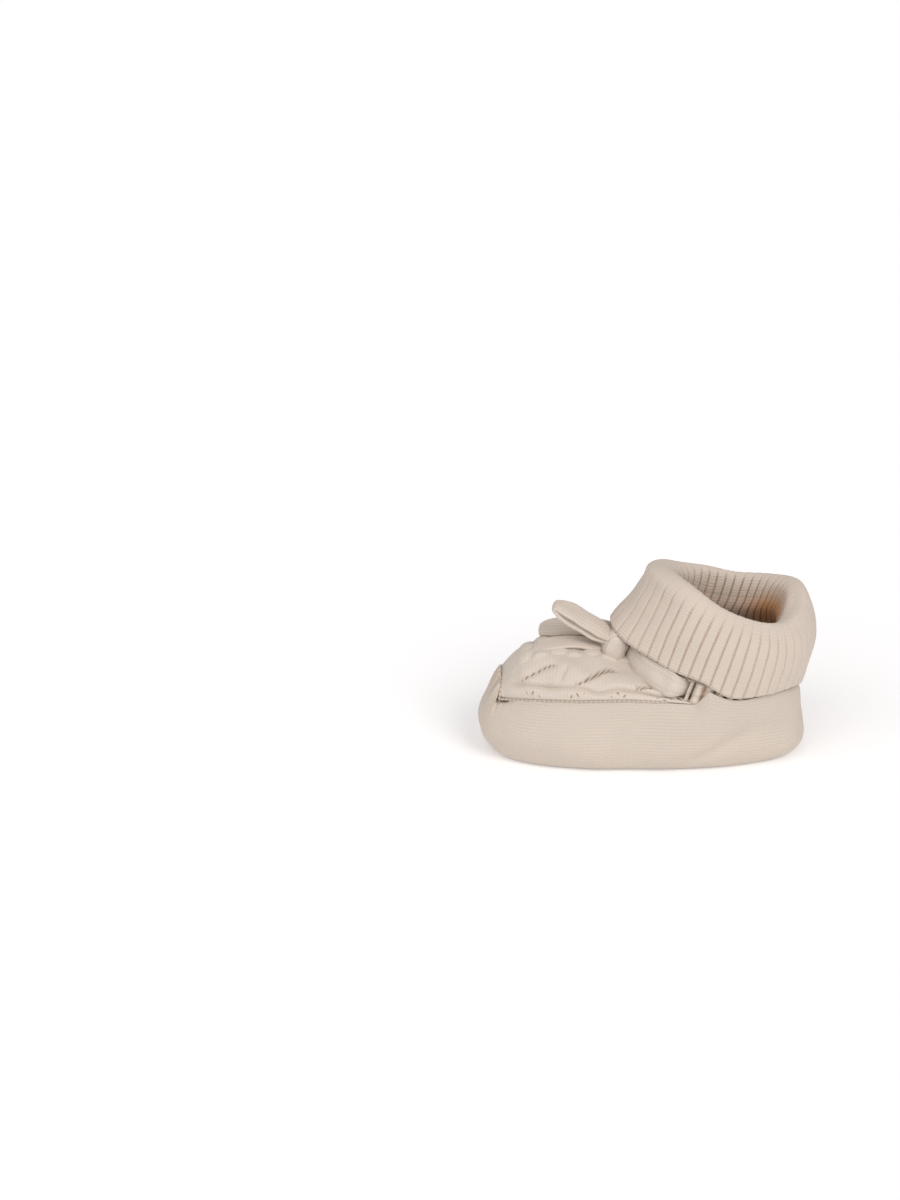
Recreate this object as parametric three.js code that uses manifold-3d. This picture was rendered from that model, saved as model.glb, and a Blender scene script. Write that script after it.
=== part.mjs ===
// Knitted baby bootie for a left or right foot, in millimetres, +Z up.
// The toe points along -Y and the heel along +Y; the bootie stands on z = 0.
// The leg is an oval tube that leans back towards the heel, so its pieces are laid out in a leg
// frame: an angle round the leg (0 = front, 90 = the +X side, 180 = back), an inset from the
// outside of the turned-down cuff, and a height along the leaning axis.
import * as THREE from "three";
import { mergeVertices } from "three/addons/utils/BufferGeometryUtils.js";
import Module from "manifold-3d";

// Foot
const TOE_Y = -54.3;
const HEEL_Y = 50.8;
const HALF_WIDTH = 24.3; // at the middle; the toe end is wider and the heel end narrower
const TOE_WIDENING = 1.6;
const OUTLINE_POWER = 2.45; // 2 is an ellipse, more is squarer
const FABRIC = 2.0; // thickness of the foot's knitted fabric
const EYELET_ANGLE = 80; // where the tie goes through the ankle, degrees round the leg
const EYELET_U = 103; // the same place, degrees round the foot's outline
const NOTCH_U = 24; // the front corner of the instep panel, degrees round the outline
const SEAM_END_U = 94; // where the instep panel's seam goes under the tie

// Leg
const LEG_TILT = THREE.MathUtils.degToRad(19);
const LEG_ORIGIN = new THREE.Vector3(0, 20.4, 28);
const LEG_A = 28.9; // half length and half width of the cuff's outside
const LEG_B = 25.5;
const LEG_SHIFT = -0.5;
const BAND_HALF = 4; // half height of the eyelet band
const BAND_INSET = 3.1;
const BAND_THICKNESS = 1.8;
const GAP = 0.35; // clearance between pieces that touch

// Tie
const TAPE_HALF = 3.75; // half width of the knitted tape
const TAPE_NECK = 2.4; // half width where an eyelet or the knot gathers it
const TAPE = 1.3; // thickness of the tape
const ROOT_TURN = 1.0; // how tightly a bow loop turns back at the knot
const TIP_TURN = 1.3; // and at its tip

const rad = THREE.MathUtils.degToRad;
const mix = THREE.MathUtils.lerp;
const smooth = THREE.MathUtils.smoothstep;
const signedPower = (v, p) => Math.sign(v) * Math.abs(v) ** p;

// A closed solid between two grids of points: outer(u, v) and inner(u, v), with u and v from 0 to 1.
// open.u is false where the grid closes on itself along u; v0 and v1 say which ends get a wall.
function skinSolid(outer, inner, nu, nv, open = { u: true, v0: true, v1: true }) {
  const positions = [];
  const index = [];
  const cols = nu + 1;
  const sheet = cols * (nv + 1);
  for (const skin of [outer, inner]) {
    for (let j = 0; j <= nv; j++) {
      for (let i = 0; i <= nu; i++) positions.push(...skin(i / nu, j / nv).toArray());
    }
  }
  const quad = (a, b, c, d) => index.push(a, b, c, a, c, d);
  const at = (i, j, side) => side * sheet + j * cols + i;
  for (let j = 0; j < nv; j++) {
    for (let i = 0; i < nu; i++) {
      quad(at(i, j, 0), at(i + 1, j, 0), at(i + 1, j + 1, 0), at(i, j + 1, 0));
      quad(at(i, j, 1), at(i, j + 1, 1), at(i + 1, j + 1, 1), at(i + 1, j, 1));
    }
  }
  for (let i = 0; i < nu; i++) {
    if (open.v0) quad(at(i + 1, 0, 0), at(i, 0, 0), at(i, 0, 1), at(i + 1, 0, 1));
    if (open.v1) quad(at(i, nv, 0), at(i + 1, nv, 0), at(i + 1, nv, 1), at(i, nv, 1));
  }
  for (let j = 0; open.u && j < nv; j++) {
    quad(at(0, j, 0), at(0, j + 1, 0), at(0, j + 1, 1), at(0, j, 1));
    quad(at(nu, j + 1, 0), at(nu, j, 0), at(nu, j, 1), at(nu, j + 1, 1));
  }
  const geometry = new THREE.BufferGeometry();
  geometry.setAttribute("position", new THREE.Float32BufferAttribute(positions, 3));
  geometry.setIndex(index);
  return cleaned(geometry);
}

// Merges equal points, drops faces with no area and turns the faces outwards.
function cleaned(geometry) {
  const merged = mergeVertices(geometry, 1e-4);
  const at = merged.getAttribute("position");
  const old = merged.getIndex().array;
  const corner = (i) => new THREE.Vector3().fromBufferAttribute(at, i);
  const kept = [];
  let volume = 0;
  for (let f = 0; f < old.length; f += 3) {
    const [a, b, c] = old.slice(f, f + 3);
    if (a === b || b === c || c === a) continue;
    kept.push(a, b, c);
    volume += corner(a).dot(corner(b).cross(corner(c)));
  }
  if (volume < 0) kept.reverse();
  merged.setIndex(kept);
  merged.computeVertexNormals();
  return merged;
}

// ---- Leg frame ----

function legPoint(degrees, inset, height) {
  const angle = rad(degrees);
  const along = LEG_SHIFT - (LEG_A - inset) * Math.cos(angle);
  return new THREE.Vector3(
    (LEG_B - inset) * Math.sin(angle),
    LEG_ORIGIN.y + along * Math.cos(LEG_TILT) + height * Math.sin(LEG_TILT),
    LEG_ORIGIN.z - along * Math.sin(LEG_TILT) + height * Math.cos(LEG_TILT),
  );
}

// Height of the middle of the eyelet band: low at the front, high under the cuff at the back.
function bandHeight(degrees) {
  const c = Math.cos(rad(degrees));
  return -1.0 - 4.8 * c + 3.2 * c * c;
}

// 1 at the given angle on either side of the front, falling away over the given width.
function bump(degrees, centre, width) {
  const turn = Math.abs(((degrees + 540) % 360) - 180);
  return Math.exp(-(((turn - centre) / width) ** 2));
}

// Height of the flap's lower edge: it rests on the bow at the front and dips behind the eyelets.
function cuffLower(degrees) {
  return 3.35 - 1.6 * Math.cos(rad(degrees)) + 1.75 * bump(degrees, 0, 27) - 3.0 * bump(degrees, 103, 20);
}

// Height of the fold, with the uneven slouch of worn knit.
function cuffCrest(degrees) {
  const a = rad(degrees);
  const even = 28.3 - 2.4 * Math.cos(a) + 1.25 * Math.cos(2 * a) - 0.85 * Math.cos(3 * a);
  return even + 2.5 * Math.sin(2 * a) - 0.9 * Math.sin(3 * a);
}

// How far the flap's lower edge stands out over the bow.
const flare = (degrees) => 6.2 * bump(degrees, 0, 27);

// The fold is a roll: its outer side lies at rollStart and its inner side rollWidth further in.
const rollStart = (degrees) => 4.1 - 2.75 * Math.cos(rad(degrees)) - 0.9 * Math.cos(rad(2 * degrees));
const rollWidth = (degrees) => 6.6 + 0.25 * Math.cos(rad(degrees)) + 2.1 * Math.cos(rad(2 * degrees));
const rollEnd = (degrees) => rollStart(degrees) + rollWidth(degrees);

// ---- Foot ----

function outline(degrees) {
  const c = Math.cos(rad(degrees));
  const s = Math.sin(rad(degrees));
  const middle = (TOE_Y + HEEL_Y) / 2;
  const half = (HEEL_Y - TOE_Y) / 2;
  return new THREE.Vector3(
    (HALF_WIDTH + TOE_WIDENING * c) * signedPower(s, 2 / OUTLINE_POWER),
    middle - half * signedPower(c, 2 / OUTLINE_POWER),
    0,
  );
}

// The line under the foot that the outline shrinks to.
const spine = (degrees, z = 0) => new THREE.Vector3(0, -1.6 + 0.55 * (outline(degrees).y + 1.6), z);

// The edge between the foot and the instep panel, on the +X side, from the notch to the eyelet.
const sideEdge = new THREE.CatmullRomCurve3([
  new THREE.Vector3(9.5, -47.9, 20.5),
  new THREE.Vector3(15.6, -38, 22.6),
  new THREE.Vector3(20.2, -23, 24.2),
  new THREE.Vector3(22.0, -5, 25.2),
  legPoint(EYELET_ANGLE, BAND_INSET, bandHeight(EYELET_ANGLE) - BAND_HALF - GAP),
]);

// The foot's upper edge: over the toe, back along the instep panel, then round the ankle.
function rim(degrees) {
  const turn = THREE.MathUtils.euclideanModulo(degrees + 180, 360) - 180;
  const u = Math.abs(turn);
  let p;
  if (u <= NOTCH_U) {
    const a = (u / NOTCH_U) * (Math.PI / 2);
    p = new THREE.Vector3(9.5 * Math.sin(a), -47.9 + 1.4 * Math.cos(a), 20.5 + 6.5 * Math.cos(a));
  } else if (u <= EYELET_U) {
    p = sideEdge.getPoint((u - NOTCH_U) / (EYELET_U - NOTCH_U));
  } else {
    const angle = mix(EYELET_ANGLE, 180, (u - EYELET_U) / (180 - EYELET_U));
    p = legPoint(angle, BAND_INSET, bandHeight(angle) - BAND_HALF - GAP);
  }
  p.x *= turn < 0 ? -1 : 1;
  return p;
}

// The foot's fabric: t runs from the middle of the sole (0) to the rim (1).
function footPoint(degrees, t, depth) {
  const c = Math.cos(rad(degrees));
  const base = outline(degrees);
  const inward = spine(degrees).sub(base).normalize();
  const widest = 11 + 1.5 * c - 2.5 * c * c;
  const edge = 8 + c;
  if (t <= 0.35) {
    const start = base.addScaledVector(inward, edge + depth);
    return spine(degrees).lerp(start, t / 0.35).setZ(depth);
  }
  if (t <= 0.6) {
    const a = ((t - 0.35) / 0.25) * (Math.PI / 2);
    const p = base.addScaledVector(inward, depth + edge * (1 - Math.sin(a)));
    return p.setZ(depth + (widest - depth) * (1 - Math.cos(a)));
  }
  const s = (t - 0.6) / 0.4;
  const shift = inward.multiplyScalar(depth);
  const low = base.clone().setZ(widest);
  const high = rim(degrees);
  const pull = low.clone().lerp(high, 0.12).setZ(mix(widest, high.z, 0.6));
  return new THREE.QuadraticBezierCurve3(low, pull, high).getPoint(s).add(shift);
}

function footShell() {
  return skinSolid(
    (u, v) => footPoint(360 * u, v, 0),
    (u, v) => footPoint(360 * u, v, FABRIC),
    48, 12, { u: false, v0: false, v1: true },
  );
}

// ---- Instep panel ----

// Height and place of the panel's middle line, from its front edge to the ankle.
const crown = new THREE.CatmullRomCurve3([
  new THREE.Vector3(0, -44.2, 27.6),
  new THREE.Vector3(0, -41.5, 31.0),
  new THREE.Vector3(0, -36.5, 34.0),
  new THREE.Vector3(0, -28, 35.6),
  new THREE.Vector3(0, -19, 35.0),
  new THREE.Vector3(0, -12, 32.4),
  legPoint(0, BAND_INSET + 0.5, bandHeight(0) - BAND_HALF - GAP - 0.1),
]);

// p runs across the panel from -1 to 1, q along it from the toe (0) to the ankle (1).
function instepPoint(p, q, lift) {
  const side = rim(mix(NOTCH_U, EYELET_U, q));
  const inward = spine(mix(NOTCH_U, EYELET_U, q)).sub(outline(mix(NOTCH_U, EYELET_U, q))).setZ(0);
  side.addScaledVector(inward.normalize(), mix(FABRIC + 0.6, 0.6, smooth(q, 0.9, 1)));
  const middle = crown.getPoint(q);
  const span = rad(mix(88, EYELET_ANGLE, q));
  const rise = (Math.cos(p * span) - Math.cos(span)) / (1 - Math.cos(span));
  const point = new THREE.Vector3(
    side.x * Math.sin(p * span) / Math.sin(span),
    mix(side.y, middle.y, rise),
    mix(side.z, middle.z, rise ** 0.9),
  );
  const angle = p * EYELET_ANGLE;
  const ankle = legPoint(angle, BAND_INSET + 0.5, bandHeight(angle) - BAND_HALF - GAP - 0.1);
  return point.lerp(ankle, smooth(q, 0.8, 1)).add(new THREE.Vector3(0, 0, lift));
}

function instepPanel() {
  return skinSolid(
    (u, v) => instepPoint(2 * u - 1, v, 0),
    (u, v) => instepPoint(2 * u - 1, v, -FABRIC),
    18, 20,
  );
}

// The linked seam that lies on the foot's rim along the instep panel.
function instepSeam() {
  const points = [];
  for (let u = -SEAM_END_U; u <= SEAM_END_U; u += SEAM_END_U / 15) {
    const inward = spine(u).sub(outline(u)).normalize();
    const lift = mix(2.0, 1.3, smooth(Math.abs(u), 12, 40));
    points.push(rim(u).addScaledVector(inward, 1.3).add(new THREE.Vector3(0, 0, lift)));
  }
  return cord(points, 0.6, 60);
}

function cord(points, radius, steps) {
  const shape = new THREE.Shape();
  for (let i = 0; i < 6; i++) {
    const a = (i / 6) * 2 * Math.PI;
    if (i === 0) shape.moveTo(radius * Math.cos(a), radius * Math.sin(a));
    else shape.lineTo(radius * Math.cos(a), radius * Math.sin(a));
  }
  const path = new THREE.CatmullRomCurve3(points);
  const geometry = new THREE.ExtrudeGeometry(shape, { steps, extrudePath: path });
  geometry.deleteAttribute("normal");
  geometry.deleteAttribute("uv");
  return cleaned(geometry);
}

// The seam allowance inside the foot, along the middle of the sole.
function soleSeam() {
  const points = [];
  for (let y = -38; y <= 40; y += 13) points.push(new THREE.Vector3(0, y, FABRIC + GAP + 0.8));
  return cord(points, 0.8, 12);
}

// ---- Ankle ----

function tube(insetOut, insetIn, low, high, rows) {
  return skinSolid(
    (u, v) => legPoint(360 * u, insetOut(360 * u, v), mix(low(360 * u), high(360 * u), v)),
    (u, v) => legPoint(360 * u, insetIn(360 * u, v), mix(low(360 * u), high(360 * u), v)),
    48, rows, { u: false, v0: true, v1: true },
  );
}

const solidOf = (wasm, geometry) => {
  const bare = geometry.clone();
  bare.deleteAttribute("normal");
  bare.deleteAttribute("uv");
  const merged = mergeVertices(bare, 1e-4);
  return new wasm.Manifold(new wasm.Mesh({
    numProp: 3,
    vertProperties: new Float32Array(merged.getAttribute("position").array),
    triVerts: new Uint32Array(merged.getIndex().array),
  }));
};

// A block across the band's wall, turned to face out of the leg.
function windowBlock(degrees, width, height) {
  const at = legPoint(degrees, BAND_INSET + BAND_THICKNESS / 2, bandHeight(degrees));
  const next = legPoint(degrees + 1, BAND_INSET + BAND_THICKNESS / 2, bandHeight(degrees + 1));
  const up = new THREE.Vector3(0, Math.sin(LEG_TILT), Math.cos(LEG_TILT));
  const side = next.sub(at).normalize();
  const out = new THREE.Vector3().crossVectors(side, up).normalize();
  const turn = new THREE.Matrix4().makeBasis(side, out, new THREE.Vector3().crossVectors(side, out));
  const block = new THREE.BoxGeometry(width, 6, height);
  return block.applyMatrix4(turn.setPosition(at));
}

// The eyelet row between foot and leg: bars with slots, and a wide eyelet for the tie each side.
async function eyeletBand() {
  const wasm = await Module();
  wasm.setup();
  const wall = (extra) => () => BAND_INSET + extra;
  const low = (d) => bandHeight(d) - BAND_HALF;
  const high = (d) => bandHeight(d) + BAND_HALF;
  let solid = solidOf(wasm, tube(wall(0), wall(BAND_THICKNESS), low, high, 2));
  for (const side of [-1, 1]) {
    const slot = windowBlock(side * EYELET_ANGLE, 8.4, 5.6);
    solid = solid.subtract(solidOf(wasm, slot));
  }
  for (let d = 103; d <= 257; d += 11) {
    solid = solid.subtract(solidOf(wasm, windowBlock(d, 2.2, 4.2)));
  }
  const mesh = solid.getMesh();
  const geometry = new THREE.BufferGeometry();
  geometry.setAttribute("position", new THREE.BufferAttribute(mesh.vertProperties, 3));
  geometry.setIndex(new THREE.BufferAttribute(mesh.triVerts, 1));
  geometry.computeVertexNormals();
  return geometry;
}

// The ribbed leg, from the eyelet band up to the inside of the cuff's fold.
function ankleRib() {
  const out = (d, v) => mix(BAND_INSET, rollEnd(d) - 2.0, smooth(v, 0, 1));
  const inner = (d, v) => out(d, v) + BAND_THICKNESS;
  return tube(out, inner, (d) => bandHeight(d) + BAND_HALF + GAP, (d) => cuffCrest(d) - 7.6, 5);
}

// ---- Cuff ----

// The closed section of the cuff at one angle, as insets and heights: up the outside of the
// flap, over the fold, down to the leg's top edge and back along the underside.
function cuffSection(degrees) {
  const start = rollStart(degrees);
  const width = rollWidth(degrees);
  const end = rollEnd(degrees);
  const low = cuffLower(degrees);
  const top = cuffCrest(degrees);
  const flap = (t, deeper) => [
    mix(-flare(degrees), 0.4, t) + (start - 0.4) * smooth(t, 0.55, 1) + deeper, mix(low, top, t),
  ];
  return [
    flap(0, 0), flap(0.2, 0), flap(0.45, 0), flap(0.72, 0), flap(0.9, 0),
    [start + 0.3 * width, top], [start + 0.68 * width, top - 0.9], [start + 0.93 * width, top - 3.6],
    [end, top - 7.2], [end - 2.1, top - 7.2], [end - 2.3, top - 4.6], [start + 0.35 * width, top - 2.3],
    flap(0.7, 2.2), flap(0.45, 2.1), flap(0.2, 2.1), flap(0, 2.2),
  ];
}

function cuff() {
  const around = 48;
  const count = cuffSection(0).length;
  const positions = [];
  const index = [];
  for (let i = 0; i < around; i++) {
    const degrees = (360 * i) / around;
    for (const [inset, height] of cuffSection(degrees)) {
      positions.push(...legPoint(degrees, inset, height).toArray());
    }
  }
  for (let i = 0; i < around; i++) {
    for (let k = 0; k < count; k++) {
      const a = i * count + k;
      const b = i * count + ((k + 1) % count);
      const shift = (((i + 1) % around) - i) * count;
      index.push(a, a + shift, b + shift, a, b + shift, b);
    }
  }
  const geometry = new THREE.BufferGeometry();
  geometry.setAttribute("position", new THREE.Float32BufferAttribute(positions, 3));
  geometry.setIndex(index);
  return cleaned(geometry);
}

// ---- Tie ----

// A tape along centre(v), with its width along across(v), as wide as half(v) each side.
function tape(centre, across, half, steps, closed = false) {
  const face = (side) => (u, v) => {
    const step = 0.002;
    const back = closed ? centre((v - step + 1) % 1) : centre(Math.max(0, v - step));
    const ahead = closed ? centre((v + step) % 1) : centre(Math.min(1, v + step));
    const wide = across(v).normalize();
    const out = new THREE.Vector3().crossVectors(ahead.sub(back), wide).normalize();
    return centre(v % 1.0000001)
      .addScaledVector(wide, (2 * u - 1) * half(v))
      .addScaledVector(out, (side * TAPE) / 2);
  };
  const ends = !closed;
  return skinSolid(face(1), face(-1), 4, steps, { u: true, v0: ends, v1: ends });
}

// How far the tape stands out from the band: outside it at the front, inside it at the back.
function tieInset(degrees) {
  const out = BAND_INSET - 0.4 - TAPE / 2;
  const inside = BAND_INSET + BAND_THICKNESS + 0.45 + TAPE / 2;
  return mix(out, inside, smooth(Math.abs(degrees), EYELET_ANGLE - 11, EYELET_ANGLE + 11));
}

function tieHalf(degrees) {
  const past = Math.abs(Math.abs(degrees) - EYELET_ANGLE);
  return mix(TAPE_NECK, Math.abs(degrees) < EYELET_ANGLE ? TAPE_HALF : 3.2, smooth(past, 13, 26));
}

// One run round the ankle, with both ends at the knot.
function tieBand() {
  const start = 9;
  const angle = (v) => mix(start, 360 - start, v);
  const turn = (v) => (angle(v) > 180 ? angle(v) - 360 : angle(v));
  return tape(
    (v) => legPoint(angle(v), tieInset(turn(v)), bandHeight(angle(v))),
    () => new THREE.Vector3(0, Math.sin(LEG_TILT), Math.cos(LEG_TILT)),
    (v) => tieHalf(turn(v)),
    96,
  );
}

function knot() {
  const ball = new THREE.SphereGeometry(1, 14, 10);
  ball.deleteAttribute("normal");
  ball.deleteAttribute("uv");
  return cleaned(ball.scale(3.4, 3.0, 4.0).rotateX(-LEG_TILT));
}

// A flattened loop of tape from its root to its tip; open is half the gap at its widest.
function bowLoop(root, reach, across, length, open) {
  const along = reach.clone().normalize();
  const wide = across.clone().addScaledVector(along, -across.dot(along)).normalize();
  const rise = new THREE.Vector3().crossVectors(wide, along).normalize();
  const upper = [
    [0.3 * ROOT_TURN, 0.7 * ROOT_TURN], [ROOT_TURN, ROOT_TURN], [0.3 * length, 0.92 * open],
    [0.62 * length, open], [length - TIP_TURN, TIP_TURN], [length - 0.3 * TIP_TURN, 0.7 * TIP_TURN],
  ];
  const lower = upper.map(([far, up]) => [far, -up]).reverse();
  const points = [[0, 0], ...upper, [length, 0], ...lower];
  const path = new THREE.CatmullRomCurve3(points.map(([far, up]) => new THREE.Vector3(far, up, 0)), true);
  const centre = (v) => {
    const { x, y } = path.getPoint(v);
    return root.clone().addScaledVector(along, x).addScaledVector(rise, y);
  };
  const half = (v) => mix(TAPE_NECK, TAPE_HALF, smooth(path.getPoint(v).x / length, 0, 0.35));
  return tape(centre, () => wide.clone(), half, 3 * points.length, true);
}

// A loose end of tape along its points, lying with its width along across.
function bowTail(points, across) {
  const path = new THREE.CatmullRomCurve3(points);
  const half = (v) => mix(TAPE_NECK, TAPE_HALF, smooth(v, 0, 0.3));
  return tape((v) => path.getPoint(v), () => across.clone(), half, 14);
}

// ---- Assembly ----

const WOOL = new THREE.Color(0.87, 0.81, 0.75);

const group = new THREE.Group();
function add(name, geometry, shade = 1, roughness = 0.95) {
  const colour = WOOL.clone().multiplyScalar(shade);
  const material = new THREE.MeshStandardMaterial({ color: colour, roughness, metalness: 0 });
  const mesh = new THREE.Mesh(geometry, material);
  mesh.name = name;
  group.add(mesh);
  return mesh;
}

add("foot_shell", footShell());
add("instep_panel", instepPanel(), 1.02);
add("instep_seam", instepSeam(), 0.92);
add("sole_seam", soleSeam(), 0.92);
add("eyelet_band", await eyeletBand(), 0.96);
add("ankle_rib", ankleRib(), 0.98);
add("cuff", cuff());
add("tie_band", tieBand(), 1.04);

const knotMesh = add("bow_knot", knot(), 1.04);
knotMesh.position.copy(legPoint(0, -0.9, bandHeight(0)));

const loopReach = new THREE.Vector3(0, -0.82, 0.57);
add("bow_loop_near", bowLoop(
  new THREE.Vector3(2.9, -12.6, 39.2), loopReach, new THREE.Vector3(0.85, 0, -0.5), 19.5, 2.6,
), 1.04);
add("bow_loop_far", bowLoop(
  new THREE.Vector3(-4.0, -13.3, 39.3), new THREE.Vector3(-0.15, -0.98, 0.1),
  new THREE.Vector3(0.87, -0.1, -0.48), 20, 1.9,
), 1.04);
add("bow_tail_front", bowTail([
  new THREE.Vector3(2.4, -13.4, 34.9), new THREE.Vector3(3.0, -19, 36.6),
  new THREE.Vector3(3.4, -26, 37.2), new THREE.Vector3(3.6, -33, 36.6),
  new THREE.Vector3(3.6, -38, 34.8),
], new THREE.Vector3(1, 0.04, -0.12)), 1.04);
add("bow_tail_far", bowTail([
  new THREE.Vector3(-5.0, -12.2, 34.8), new THREE.Vector3(-10.5, -11.6, 34.0),
  new THREE.Vector3(-16.5, -8.6, 31.6), new THREE.Vector3(-21.4, -4.2, 29.2),
  new THREE.Vector3(-24.3, 1.2, 25.8),
], new THREE.Vector3(-0.1, -0.95, 0)), 1.04);

export default group;
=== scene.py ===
"""Looks of the knitted baby bootie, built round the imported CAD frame.

Shapes are worked out in millimetres from the same driving dimensions as the CAD, and written to the
meshes in metres. Each fabric piece is a grid of points with its knit in the geometry: ribs, courses,
lace, eyelets. The single stitches are in the materials' bump, on a UV map laid out in millimetres.

Angles round the foot and the leg are in degrees from the front, where the toe is (-Y), and are
positive on the near side (+X), which faces the camera. The foot, the instep and the flap's lower
edge have the same form on both sides; the cuff's crest, the bow and the cloth's unevenness don't.
"""

import math

import bmesh
import bpy
import numpy as np
from mathutils import Matrix, Vector


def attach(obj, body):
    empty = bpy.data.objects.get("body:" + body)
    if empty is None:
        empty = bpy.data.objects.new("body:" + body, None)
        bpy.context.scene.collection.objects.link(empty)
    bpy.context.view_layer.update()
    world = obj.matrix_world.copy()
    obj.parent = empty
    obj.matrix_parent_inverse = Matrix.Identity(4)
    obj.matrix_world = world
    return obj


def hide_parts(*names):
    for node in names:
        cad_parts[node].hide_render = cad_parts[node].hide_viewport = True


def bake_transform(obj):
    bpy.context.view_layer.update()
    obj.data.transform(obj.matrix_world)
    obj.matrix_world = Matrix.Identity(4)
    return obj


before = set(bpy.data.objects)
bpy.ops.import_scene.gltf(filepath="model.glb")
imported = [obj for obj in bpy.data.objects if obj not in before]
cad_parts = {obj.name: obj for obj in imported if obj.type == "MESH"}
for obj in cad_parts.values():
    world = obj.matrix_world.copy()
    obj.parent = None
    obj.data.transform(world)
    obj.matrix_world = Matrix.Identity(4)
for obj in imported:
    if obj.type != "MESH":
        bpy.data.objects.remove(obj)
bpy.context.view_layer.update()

MM = 0.001

# ---- Driving dimensions, in millimetres and degrees ----

# The foot: the ends and half width of its outline, how much wider it is towards the toe, how square
# the outline is (2 is an ellipse), and the fabric's thickness.
TOE_Y, HEEL_Y = -54.3, 50.8
HALF_WIDTH, TOE_WIDENING = 24.3, 1.6
OUTLINE_POWER = 2.45
FABRIC = 2.0

# The side eyelets' angle round the leg, and the angles round the foot where its rim meets them
# (EYELET_U) and where the arch over the toe ends (NOTCH_U).
EYELET_ANGLE, EYELET_U, NOTCH_U = 80.0, 103.0, 24.0
HOLE_ANGLE = 69.5  # where the tape goes in through the eyelet row

# The leg leans back. Its outside is an oval of half length LEG_A and half width LEG_B; insets are
# measured inwards from it, and heights along LEG_UP from its origin.
LEG_TILT = math.radians(19)
LEG_ORIGIN_Y, LEG_ORIGIN_Z = 20.4, 28.0
LEG_A, LEG_B, LEG_SHIFT = 28.9, 25.5, -0.5
LEG_UP = np.array([0.0, math.sin(LEG_TILT), math.cos(LEG_TILT)])

# The eyelet row: half its height, the inset of its outside, its thickness and its number of bars.
BAND_HALF, BAND_INSET, BAND_THICKNESS = 4.0, 3.1, 1.8
BARS = 44

# The cuff: how far below its crest the fold ends inside, the crest's inset, and how much further
# out the front of the fold stands than in the CAD.
FOLD_DROP, CREST_INSET = 7.2, 0.4
FRONT_LEAN = 2.1

TAPE_HALF, TAPE = 3.75, 1.3  # the tape's half width and its thickness
RIBS, RIB_PITCH = 45, 3.8  # ribs round the leg, and the width of one
COURSE = 1.1  # height of one row of stitches


# ---- Small maths ----


def mix(a, b, t):
    return a + (b - a) * t


def smooth(x, low, high):
    t = np.clip((x - low) / (high - low), 0, 1)
    return t * t * (3 - 2 * t)


def signed_power(v, p):
    return np.sign(v) * np.abs(v) ** p


def unit(v):
    return v / np.maximum(np.linalg.norm(v, axis=-1, keepdims=True), 1e-9)


def from_front(degrees):
    """The angle from the front, between -180 and 180."""
    return (np.asarray(degrees, float) + 180) % 360 - 180


def catmull(points, t):
    """Points on a smooth curve through the given points; t runs from 0 to 1."""
    p = np.asarray(points, float)
    p = np.vstack([2 * p[0] - p[1], p, 2 * p[-1] - p[-2]])
    t = np.clip(np.asarray(t, float), 0, 1) * (len(p) - 3)
    k = np.minimum(t.astype(int), len(p) - 4)
    f = (t - k)[..., None]
    a, b, c, d = p[k], p[k + 1], p[k + 2], p[k + 3]
    square, cube = 2 * a - 5 * b + 4 * c - d, 3 * b - a - 3 * c + d
    return 0.5 * (2 * b + (c - a) * f + square * f**2 + cube * f**3)


def lumps(p, size, seed):
    """Smooth unevenness between about -1 and 1, with bumps of the given size."""
    draw = np.random.default_rng(seed)
    total = np.zeros(p.shape[:-1])
    for _ in range(7):
        wave = draw.normal(size=3)
        wave *= 2 * math.pi / (size * draw.uniform(0.7, 1.6) * np.linalg.norm(wave))
        total += np.sin(p @ wave + draw.uniform(0, 2 * math.pi))
    return total / 3.5


def grid_normals(p, wrap_u=False, wrap_v=False):
    """Unit normals of a grid of points, from its neighbours along both directions."""

    def slope(axis, wrap):
        if wrap:
            return np.roll(p, -1, axis) - np.roll(p, 1, axis)
        return np.gradient(p, axis=axis)

    return unit(np.cross(slope(1, wrap_u), slope(0, wrap_v)))


def arc(p, axis):
    """Length run along a grid's rows or columns."""
    step = np.linalg.norm(np.diff(p, axis=axis), axis=-1)
    start = np.zeros_like(np.take(step, [0], axis))
    return np.concatenate([start, np.cumsum(step, axis)], axis)


def outward_normals(p, row):
    """Normals of a grid that closes round the foot or leg, pointing away from the row's middle."""
    normal = grid_normals(p, wrap_u=True)
    away = p[row] - p[row].mean(0)
    return normal * np.sign((normal[row] * away).sum(-1).mean())


def courses(along):
    """Height of the rows of stitches: 1 on the yarn and 0 between two rows."""
    return 0.5 + 0.5 * np.cos(2 * math.pi * along / COURSE)


def uv_grid(u, v):
    return np.stack(np.meshgrid(u, v, indexing="xy"), -1)


# ---- Meshes ----


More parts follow.
